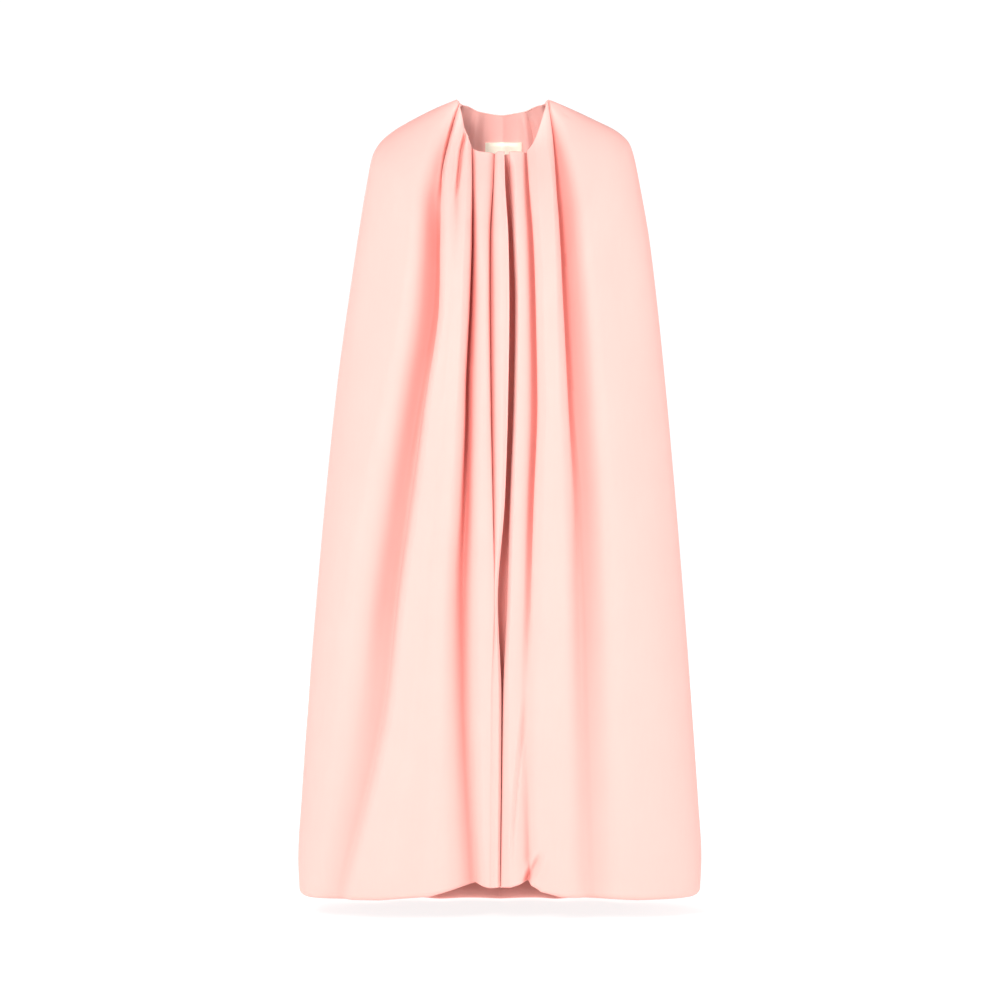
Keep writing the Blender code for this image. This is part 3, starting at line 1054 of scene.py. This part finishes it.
        up = unit(wall[0] - wall[2])
        away = unit(out_grid[0] - (out_grid[0] * up).sum(1)[:, None] * up)
        curl = self.neck.curl(wall[0], up, away)
        under = self.hem.turn(wall, outs[-1], turns * MM)
        self.outer = np.concatenate([np.array(curl), wall, np.array(under)])
        first, last = len(curl), len(under)
        self.hem_row = first + len(wall) - 1
        directions = np.array([onwards[0]] * first + onwards + [onwards[-1]] * last)
        self.across = np.concatenate([[alongs[0]] * first, along_grid, [alongs[-1]] * last])
        self.heights = np.concatenate(
            [[height_grid[0]] * first, height_grid, [height_grid[-1]] * last]
        )
        across = np.gradient(self.outer, axis=1)
        for column, fold in ((0, self.folds[0]), (-1, self.folds[-1])):
            if "seam" in fold.name:
                across[:, column] = directions[:, column]
        self.normals = unit(np.cross(np.gradient(self.outer, axis=0), across))
        self.inner = self.outer - self.cloth * self.normals

    def hollow(self) -> np.ndarray:
        """How deep each point lies in a valley, from 0 to 1, which sets how much painted shade the
        crepe lays there.
        """
        return np.stack([self.valley.share(*row) for row in zip(self.across, self.heights)])

    def build(self) -> bpy.types.Object:
        """Makes the panel's closed mesh, with its UV map in metres.

        Returns:
            The panel's object.
        """
        self.shape()
        rows, columns = self.outer.shape[:2]
        mid = (self.outer + self.inner) / 2
        rim = []
        for column, away in ((-1, -2), (0, 1)):
            edgewise = unit(mid[:, column] - mid[:, away])
            spread = self.outer[:, column] - mid[:, column]
            if column == 0:
                spread = -spread
            size = np.linalg.norm(spread, axis=1)[:, None]
            steps = []
            for k in range(1, RIM + 1):
                turn = math.pi * k / (RIM + 1)
                place = mid[:, column] + math.cos(turn) * spread
                steps.append(place + self.edge_bulge * math.sin(turn) * size * edgewise)
            rim.append(np.stack(steps, axis=1))
        loop = np.concatenate([self.outer, rim[0], self.inner[:, ::-1], rim[1]], axis=1)
        width = loop.shape[1]
        index = np.arange(rows * width).reshape(rows, width)
        following = np.roll(index, -1, axis=1)
        quads = np.stack([index[:-1], index[1:], following[1:], following[:-1]], axis=-1)
        caps: list[np.ndarray] = []
        triangles: list[list[int]] = []
        for r, flip in ((0, False), (rows - 1, True)):
            out_row = index[r, :columns]
            in_row = index[r, columns + RIM : 2 * columns + RIM][::-1]
            strip = np.stack([out_row[:-1], out_row[1:], in_row[1:], in_row[:-1]], axis=-1)
            caps.append(strip[:, ::-1] if flip else strip)
            for a, rims, b in (
                (out_row[-1], index[r, columns : columns + RIM], in_row[-1]),
                (in_row[0], index[r, 2 * columns + RIM :], out_row[0]),
            ):
                quad = np.array([[a, rims[0], rims[-1], b]])
                caps.append(quad[:, ::-1] if flip else quad)
                triangle = [int(corner) for corner in rims]
                triangles.append(triangle[::-1] if flip else triangle)
        faces = np.concatenate([quads.reshape(-1, 4), *caps]).tolist() + triangles
        mesh = bpy.data.meshes.new(self.name)
        mesh.from_pydata(loop.reshape(-1, 3).tolist(), [], faces)
        mesh.shade_smooth()

        lengths = np.linalg.norm(np.diff(self.outer, axis=0), axis=2).mean(axis=1)
        down = np.concatenate([[0], np.cumsum(lengths)])
        u = self.all_round(self.across, self.across)
        v = np.broadcast_to(down[:, None], u.shape)
        corner = np.empty(len(mesh.loops), np.int32)
        mesh.loops.foreach_get("vertex_index", corner)
        flat = np.stack([u.ravel()[corner], v.ravel()[corner]], axis=1)
        layer = mesh.uv_layers.new(name="cloth")
        layer.data.foreach_set("uv", flat.astype(np.float32).ravel())
        # The valley depths go on the mesh as the mask of the crepe's painted shade; the inner skin gets
        # none.
        deep = self.hollow()
        painted_shade_layer = mesh.attributes.new("hollow", "FLOAT", "POINT")
        painted_shade_amounts = self.all_round(deep, np.zeros_like(deep))
        painted_shade_layer.data.foreach_set("value", painted_shade_amounts.astype(np.float32).ravel())
        return link(self.name, mesh)

    @staticmethod
    def all_round(outer: np.ndarray, inner: np.ndarray) -> np.ndarray:
        """Values of both skins with the rims between them, in the order of the mesh's columns."""
        first, last = outer[:, :1].repeat(RIM, 1), outer[:, -1:].repeat(RIM, 1)
        return np.concatenate([outer, last, inner[:, ::-1], first], axis=1)

    def hem_line(self, stand: float) -> tuple[np.ndarray, np.ndarray]:
        """The line that the hem is stitched on, standing off the cloth, and the ways off it."""
        lay = self.normals[-1]
        return self.outer[-1] + lay * stand, lay

    def arc(self, row: int) -> float:
        """Length of the cloth across at a row of the outer skin."""
        return float(np.linalg.norm(np.diff(self.outer[row], axis=0), axis=1).sum())

    def dress(self, finish: bpy.types.Material, with_pieces: Sequence[bpy.types.Object]) -> None:
        """Gives the panel its finish and its place in the frame.

        Args:
            finish: the cloth's material.
            with_pieces: the separate pieces sewn on it; not used.
        """
        obj = bpy.data.objects[self.name]
        obj.data.materials.append(finish)
        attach(obj, "root")
        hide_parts(self.node)


# ---------------------------------------------------------------- label


@dataclass
class NeckLabel:
    """A bare woven label on the inside of the two backs, its ends folded under."""

    name: str = "neck_label_tape"
    node: str = "neck_label"
    width: float = 0.060
    height: float = 0.024
    centre_x: float = 0.006
    top_drop: float = 0.060
    thickness: float = 0.0009
    gap: float = 0.0005
    fold_in: float = 0.0045
    fold_rise: float = 0.0005
    fold_blend: float = 0.0004
    ridge: float = 0.0026
    ridge_at: float = 0.54
    ridge_reach: float = 0.46
    ridge_from: float = 0.25
    crease: float = 0.0006
    crease_at: tuple[float, float] = (0.62, 0.2)
    crease_slant: tuple[float, float] = (0.75, 0.22)
    crease_width: float = 0.035
    crease_span: tuple[float, float] = (0.5, 0.6)
    evenings: int = 6
    even_reach: int = 2
    sharp_angle: float = 55.0
    flat: tuple[float, float] = (0.061, 0.028)
    columns: int = 72
    rows: int = 26

    outer: np.ndarray = field(init=False)
    inwards: np.ndarray = field(init=False)

    def relief(self, across: np.ndarray, down: np.ndarray) -> np.ndarray:
        """Height of the tape over its place: folded ends, a ridge down the middle and a crease."""
        edge = np.minimum(across, 1 - across) * self.width
        blend = (self.fold_in - self.fold_blend, self.fold_in + self.fold_blend)
        ends = self.fold_rise * (1 - smoothstep(*blend, edge))
        ridge = self.ridge * np.clip(1 - np.abs(across - self.ridge_at) / self.ridge_reach, 0, 1)
        crown = ridge * smoothstep(0, self.ridge_from, down)
        away = (across - self.crease_at[0]) * self.crease_slant[0]
        line = away - (down - self.crease_at[1]) * self.crease_slant[1]
        crease = -self.crease * np.exp(-((line / self.crease_width) ** 2))
        return ends + crown + crease * smoothstep(*self.crease_span, across)

    def landing(self, backs: Sequence[ClothPanel]) -> np.ndarray:
        """Where the tape's grid lands on the inner face of the two backs."""
        points, faces = [], []
        for panel in backs:
            rows, columns = panel.inner.shape[:2]
            first = len(points)
            points.extend(Vector(p) for p in panel.inner.reshape(-1, 3))
            for r in range(rows - 1):
                for c in range(columns - 1):
                    corner = first + r * columns + c
                    faces.append((corner, corner + columns, corner + columns + 1, corner + 1))
        face = BVHTree.FromPolygons(points, faces)
        hits = np.zeros((self.rows + 1, self.columns + 1, 3))
        for r in range(self.rows + 1):
            for c in range(self.columns + 1):
                x = self.centre_x + self.width * (c / self.columns - 0.5)
                z = -self.top_drop - self.height * r / self.rows
                hits[r, c] = face.ray_cast(Vector((x, 0, z)), Vector((0, 1, 0)))[0]
        # The tape is stiffer than the cloth, so it evens out what it lies on, and stays inside it.
        depth, reach, window = hits[..., 1].copy(), self.even_reach, 2 * self.even_reach + 1
        for _ in range(self.evenings):
            padded = np.pad(depth, reach, mode="edge")
            rows = [padded[reach:-reach, k : k + depth.shape[1]] for k in range(window)]
            depth = np.minimum(hits[..., 1], sum(rows) / window)
        hits[..., 1] = depth
        return hits

    def build(self, backs: Sequence[ClothPanel]) -> bpy.types.Object:
        """Lays the tape on the inner face of the backs.

        Args:
            backs: the two back panels, shaped already.

        Returns:
            The label's object.
        """
        hits = self.landing(backs)
        grid_u, grid_v = np.meshgrid(
            np.linspace(0, 1, self.columns + 1), np.linspace(0, 1, self.rows + 1)
        )
        slope = unit(np.cross(np.gradient(hits, axis=1), np.gradient(hits, axis=0)))
        inwards = np.where(slope[..., 1:2] > 0, -slope, slope)
        near = hits + inwards * self.gap
        far = near + inwards * (self.thickness + self.relief(grid_u, grid_v))[..., None]
        self.outer = far
        self.inwards = inwards
        shape = bmesh.new()
        skins = [[[shape.verts.new(p) for p in row] for row in grid] for grid in (far, near)]
        uv = shape.loops.layers.uv.new("cloth")
        metres = {}
        for r in range(self.rows + 1):
            for c in range(self.columns + 1):
                for skin in skins:
                    metres[skin[r][c]] = (grid_u[r, c] * self.width, grid_v[r, c] * self.height)
        out, into = skins
        for r in range(self.rows):
            for c in range(self.columns):
                shape.faces.new((out[r][c], out[r + 1][c], out[r + 1][c + 1], out[r][c + 1]))
                shape.faces.new((into[r][c], into[r][c + 1], into[r + 1][c + 1], into[r + 1][c]))
        for r in range(self.rows):
            shape.faces.new((out[r][0], into[r][0], into[r + 1][0], out[r + 1][0]))
            shape.faces.new((out[r][-1], out[r + 1][-1], into[r + 1][-1], into[r][-1]))
        for c in range(self.columns):
            shape.faces.new((out[0][c], out[0][c + 1], into[0][c + 1], into[0][c]))
            shape.faces.new((out[-1][c], into[-1][c], into[-1][c + 1], out[-1][c + 1]))
        bmesh.ops.recalc_face_normals(shape, faces=shape.faces)
        for f in shape.faces:
            f.smooth = True
            for corner in f.loops:
                corner[uv].uv = metres[corner.vert]
        mesh = bpy.data.meshes.new(self.name)
        shape.to_mesh(mesh)
        shape.free()
        mesh.set_sharp_from_angle(angle=math.radians(self.sharp_angle))
        return link(self.name, mesh)

    def sewing_lines(self, inset: int, stand: float) -> list[tuple[np.ndarray, np.ndarray]]:
        """Lines inside both ends and under the top edge, standing off the tape, and the ways off it.

        Args:
            inset: how many columns the end lines lie inside the ends.
            stand: how far the lines stand off the tape.

        Returns:
            Points and directions of each line.
        """
        sides = [
            (self.outer[:, column] + self.inwards[:, column] * stand, self.inwards[:, column])
            for column in (inset, self.columns - inset)
        ]
        return [*sides, (self.outer[1] + self.inwards[1] * stand, self.inwards[1])]

    def dress(self, finish: bpy.types.Material, with_pieces: Sequence[bpy.types.Object]) -> None:
        """Gives the label its finish and its place in the frame."""
        obj = bpy.data.objects[self.name]
        obj.data.materials.append(finish)
        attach(obj, "root")
        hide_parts(self.node)


# ---------------------------------------------------------------- stitches


@dataclass
class StitchRun:
    """A run of hand or machine stitches along a line on the cloth, made by Geometry Nodes."""

    name: str
    slot: str
    spacing: float
    length: float
    thickness: float
    slant: float = 0.0
    unevenness: float = 0.1
    seed: int = 3

    def tree(self) -> tuple[bpy.types.NodeTree, dict[str, str]]:
        """Builds the node tree.

        Returns:
            The tree, and the identifier of each named input.
        """
        group = bpy.data.node_groups.new(self.name, "GeometryNodeTree")
        group.interface.new_socket(name="Geometry", in_out="INPUT", socket_type="NodeSocketGeometry")
        numbers = ("Spacing", "Length", "Thickness", "Slant", "Unevenness")
        kinds = dict.fromkeys(numbers, "NodeSocketFloat")
        kinds |= {"Seed": "NodeSocketInt", "Thread": "NodeSocketMaterial"}
        named = {
            name: group.interface.new_socket(name=name, in_out="INPUT", socket_type=kind).identifier
            for name, kind in kinds.items()
        }
        group.interface.new_socket(name="Geometry", in_out="OUTPUT", socket_type="NodeSocketGeometry")

        def add(
            kind: str,
            settings: dict[str, Any] | None = None,
            inputs: dict[Any, Any] | None = None,
        ) -> bpy.types.Node:
            """Adds one node with its settings and sockets."""
            node = group.nodes.new(kind)
            for key, value in (settings or {}).items():
                setattr(node, key, value)
            for key, value in (inputs or {}).items():
                if isinstance(value, bpy.types.NodeSocket):
                    group.links.new(value, node.inputs[key])
                else:
                    node.inputs[key].default_value = value
            return node

        start = add("NodeGroupInput")
        line = add("GeometryNodeMeshToCurve", None, {0: start.outputs["Geometry"]})
        even = add(
            "GeometryNodeResampleCurve",
            {"mode": "LENGTH"},
            {"Curve": line.outputs[0], "Length": start.outputs["Spacing"]},
        )
        tangent = add("GeometryNodeInputTangent")
        lay = add("GeometryNodeInputNamedAttribute", {"data_type": "FLOAT_VECTOR"}, {"Name": "lay"})
        facing = add("FunctionNodeAlignRotationToVector", {"axis": "X"}, {"Vector": tangent.outputs[0]})
        upright = add(
            "FunctionNodeAlignRotationToVector",
            {"axis": "Z", "pivot_axis": "X"},
            {"Rotation": facing.outputs[0], "Vector": lay.outputs[0]},
        )
        swing = add(
            "FunctionNodeRandomValue",
            {"data_type": "FLOAT"},
            {2: -1.0, 3: 1.0, "Seed": start.outputs["Seed"]},
        )
        sway = add(
            "ShaderNodeMath",
            {"operation": "MULTIPLY"},
            {0: swing.outputs[1], 1: start.outputs["Unevenness"]},
        )
        angle = add(
            "ShaderNodeMath",
            {"operation": "ADD"},
            {0: sway.outputs[0], 1: start.outputs["Slant"]},
        )
        turned = add("ShaderNodeCombineXYZ", None, {2: angle.outputs[0]})
        spin = add("FunctionNodeEulerToRotation", None, {0: turned.outputs[0]})
        rotation = add(
            "FunctionNodeRotateRotation",
            {"rotation_space": "LOCAL"},
            {0: upright.outputs[0], 1: spin.outputs[0]},
        )
        bead = add("GeometryNodeMeshUVSphere", None, {"Segments": 6, "Rings": 5, "Radius": 0.5})
        size = add(
            "ShaderNodeCombineXYZ",
            None,
            {0: start.outputs["Length"], 1: start.outputs["Thickness"], 2: start.outputs["Thickness"]},
        )
        stitch = add(
            "GeometryNodeTransform",
            None,
            {"Geometry": bead.outputs["Mesh"], "Scale": size.outputs[0]},
        )
        placed = add(
            "GeometryNodeInstanceOnPoints",
            None,
            {"Points": even.outputs[0], "Instance": stitch.outputs[0], "Rotation": rotation.outputs[0]},
        )
        real = add("GeometryNodeRealizeInstances", None, {0: placed.outputs[0]})
        smooth = add("GeometryNodeSetShadeSmooth", None, {0: real.outputs[0]})
        thread = add(
            "GeometryNodeSetMaterial",
            None,
            {"Geometry": smooth.outputs[0], "Material": start.outputs["Thread"]},
        )
        end = group.nodes.new("NodeGroupOutput")
        group.links.new(thread.outputs[0], end.inputs[0])
        return group, named

    def sew(
        self, lines: Sequence[tuple[np.ndarray, np.ndarray]], thread: bpy.types.Material
    ) -> bpy.types.Object:
        """Sews the run along some lines.

        Args:
            lines: points and outward directions of each line.
            thread: the thread's material.

        Returns:
            The stitches as one plain mesh, riding on the cape.
        """
        guide = bpy.data.meshes.new(self.name + "_line")
        points = np.concatenate([line for line, _ in lines])
        lays = np.concatenate([lay for _, lay in lines])
        edges, first = [], 0
        for line, _ in lines:
            edges += [(first + k, first + k + 1) for k in range(len(line) - 1)]
            first += len(line)
        guide.from_pydata(points.tolist(), edges, [])
        attribute = guide.attributes.new("lay", "FLOAT_VECTOR", "POINT")
        attribute.data.foreach_set("vector", lays.astype(np.float32).ravel())
        source = link(self.name + "_line", guide)
        group, named = self.tree()
        modifier = source.modifiers.new("stitches", "NODES")
        modifier.node_group = group
        values = {
            "Spacing": self.spacing,
            "Length": self.length,
            "Thickness": self.thickness,
            "Slant": self.slant,
            "Unevenness": self.unevenness,
            "Seed": self.seed,
            "Thread": thread,
        }
        for name, value in values.items():
            modifier[named[name]] = value
        evaluated = source.evaluated_get(bpy.context.evaluated_depsgraph_get())
        mesh = bpy.data.meshes.new_from_object(evaluated)
        mesh.name = self.name
        source.modifiers.remove(modifier)
        bpy.data.objects.remove(source)
        obj = link(self.name, mesh)
        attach(obj, "root")
        return obj


# ---------------------------------------------------------------- studio


class SoftBox(NamedTuple):
    """A square soft light."""

    name: str
    place: tuple[float, float, float]
    power: float
    size: float


@dataclass(frozen=True)
class NeckBeam:
    """A narrow soft beam over the front neckline into the open neck."""

    name: str = "neck light"
    place: tuple[float, float, float] = (-0.12, -1.30, 0.76)
    aim: tuple[float, float, float] = (0.014, 0.06, -0.055)
    power: float = 104.0
    spread: float = 6.2
    softness: float = 0.05


@dataclass
class Studio:
    """Pale floor, soft lights about the cape and into its neck, and the camera straight in front."""

    boxes: tuple[SoftBox, ...] = (
        SoftBox("key", (-2.7, -6.7, 3.0), 360.0, 2.2),
        SoftBox("left fill", (-6.6, -3.6, 0.0), 205.0, 3.6),
        SoftBox("right fill", (6.6, -3.8, 0.0), 360.0, 3.6),
        SoftBox("back fill", (-1.6, 6.6, 1.6), 230.0, 3.0),
    )
    beam: NeckBeam = NeckBeam()
    aim: tuple[float, float, float] = (0, 0, -0.6)
    floor_size: float = 14.0
    floor_steps: int = 8
    backdrop: float = 1.05
    floor_height: float = -1.297
    camera_distance: float = 5.5
    camera_height: float = -0.64
    view_width: float = 1.6
    sensor: float = 36.0
    sky: float = 0.30

    def build(self) -> None:
        """Sets up floor, world, lights and camera."""
        self.lay_floor()
        self.set_world()
        for box in self.boxes:
            lamp = bpy.data.lights.new(box.name, "AREA")
            lamp.energy, lamp.size = box.power, box.size
            self.hang(box.name, lamp, box.place, self.aim)
        lamp = bpy.data.lights.new(self.beam.name, "SPOT")
        lamp.energy, lamp.shadow_soft_size = self.beam.power, self.beam.softness
        lamp.spot_size, lamp.spot_blend = math.radians(self.beam.spread), 1.0
        self.hang(self.beam.name, lamp, self.beam.place, self.beam.aim)
        self.place_camera()

    def lay_floor(self) -> None:
        """The floor: a flat square grid of faces."""
        verts, faces = [], []
        steps = self.floor_steps
        for r in range(steps + 1):
            for c in range(steps + 1):
                place = (self.floor_size * (c / steps - 0.5), self.floor_size * (r / steps - 0.5))
                verts.append((*place, self.floor_height))
        for r in range(steps):
            for c in range(steps):
                k = r * (steps + 1) + c
                faces.append((k, k + 1, k + steps + 2, k + steps + 1))
        mesh = bpy.data.meshes.new("floor")
        mesh.from_pydata(verts, [], faces)
        mesh.materials.append(FloorFinish().material())
        floor = link("floor", mesh)

    def set_world(self) -> None:
        """A white backdrop for the camera, and a weak sky for all other rays."""
        world = bpy.data.worlds.new("studio")
        bpy.context.scene.world = world
        world.use_nodes = True
        nodes, links = world.node_tree.nodes, world.node_tree.links
        nodes.clear()
        path = nodes.new("ShaderNodeLightPath")
        mix = nodes.new("ShaderNodeMixShader")
        end = nodes.new("ShaderNodeOutputWorld")
        links.new(path.outputs["Is Camera Ray"], mix.inputs[0])
        for slot, strength in ((1, self.sky), (2, self.backdrop)):
            glow = nodes.new("ShaderNodeBackground")
            glow.inputs["Color"].default_value = (1, 1, 1, 1)
            glow.inputs["Strength"].default_value = strength
            links.new(glow.outputs[0], mix.inputs[slot])
        links.new(mix.outputs[0], end.inputs["Surface"])

    def place_camera(self) -> None:
        """The camera straight in front, and the plain view transform."""
        camera = bpy.data.cameras.new("camera")
        camera.sensor_width = self.sensor
        camera.lens = self.sensor * self.camera_distance / self.view_width
        camera.clip_end = 60
        eye = bpy.data.objects.new("camera", camera)
        eye.location = (0, -self.camera_distance, self.camera_height)
        eye.rotation_euler = (math.radians(90), 0, 0)
        bpy.context.scene.collection.objects.link(eye)
        bpy.context.scene.camera = eye
        view = bpy.context.scene.view_settings
        view.view_transform = "Standard"
        view.look = "None"
        view.exposure = 0.0
        view.gamma = 1.0

    def hang(
        self, name: str, lamp: bpy.types.Light, place: Sequence[float], aim: Sequence[float]
    ) -> None:
        """Hangs a lamp at a place, turned to what it is aimed at."""
        obj = bpy.data.objects.new(name, lamp)
        obj.location = place
        towards = Vector(aim) - Vector(place)
        obj.rotation_euler = towards.to_track_quat("-Z", "Y").to_euler()
        bpy.context.scene.collection.objects.link(obj)


# ---------------------------------------------------------------- the whole cape


def main() -> None:
    """Builds the cape, the label, the stitches and the studio."""
    logging.basicConfig(level=logging.INFO, format="%(name)s %(message)s")
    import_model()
    crepe, tape = CREPE.material(), TAPE.material()
    blush, cream = CLOTH_THREAD.material(), LABEL_THREAD.material()

    low_roll = NeckRoll(radius=0.0025, shoulder_radius=0.0025, angle=0.9, shoulder_angle=1.2)
    front_cut = {"flat": (0.50, 1.42), "area": 0.54}
    back_cut = {"flat": (0.47, 1.42), "area": 0.50, "neck": low_roll}
    panels = {
        "front_left": ClothPanel(
            "front_left_cloth", "front_left", FRONT_LEFT, FRONT_LEFT_CREASES, True, **front_cut, fine=5
        ),
        "front_right": ClothPanel(
            "front_right_cloth", "front_right", FRONT_RIGHT, FRONT_RIGHT_CREASES, True, **front_cut
        ),
        "back_left": ClothPanel(
            "back_left_cloth", "back_left", BACK_LEFT, BACK_LEFT_CREASES, False, **back_cut
        ),
        "back_right": ClothPanel(
            "back_right_cloth", "back_right", BACK_RIGHT, BACK_RIGHT_CREASES, False, **back_cut
        ),
    }
    for panel in panels.values():
        panel.build()
        arcs = [round(panel.arc(r), 3) for r in (panel.neck.rows, panel.hem_row)]
        LOG.info("panel %s, neck and hem %s m", panel.name, arcs)
    label = NeckLabel()
    label.build((panels["back_right"], panels["back_left"]))
    LOG.info("label %s", label.name)

    sewn = {}
    for key, panel in panels.items():
        run = StitchRun(
            f"{key}_hem_stitches", "cloth", spacing=0.008, length=0.0042, thickness=0.00045,
            slant=1.1, unevenness=0.2, seed=5,
        )
        sewn[key] = run.sew([panel.hem_line(stand=0.0002)], blush)
        LOG.info("stitches %s", run.name)
    sides = StitchRun(
        "neck_label_stitches", "label", spacing=0.0026, length=0.0021, thickness=0.0004,
        slant=0.0, unevenness=0.05, seed=7,
    )
    label_sewing = sides.sew(label.sewing_lines(inset=3, stand=0.0001), cream)

    for key, panel in panels.items():
        panel.dress(crepe, [sewn[key]])
    label.dress(tape, [label_sewing])
    Studio().build()


if __name__ == "__main__":
    main()
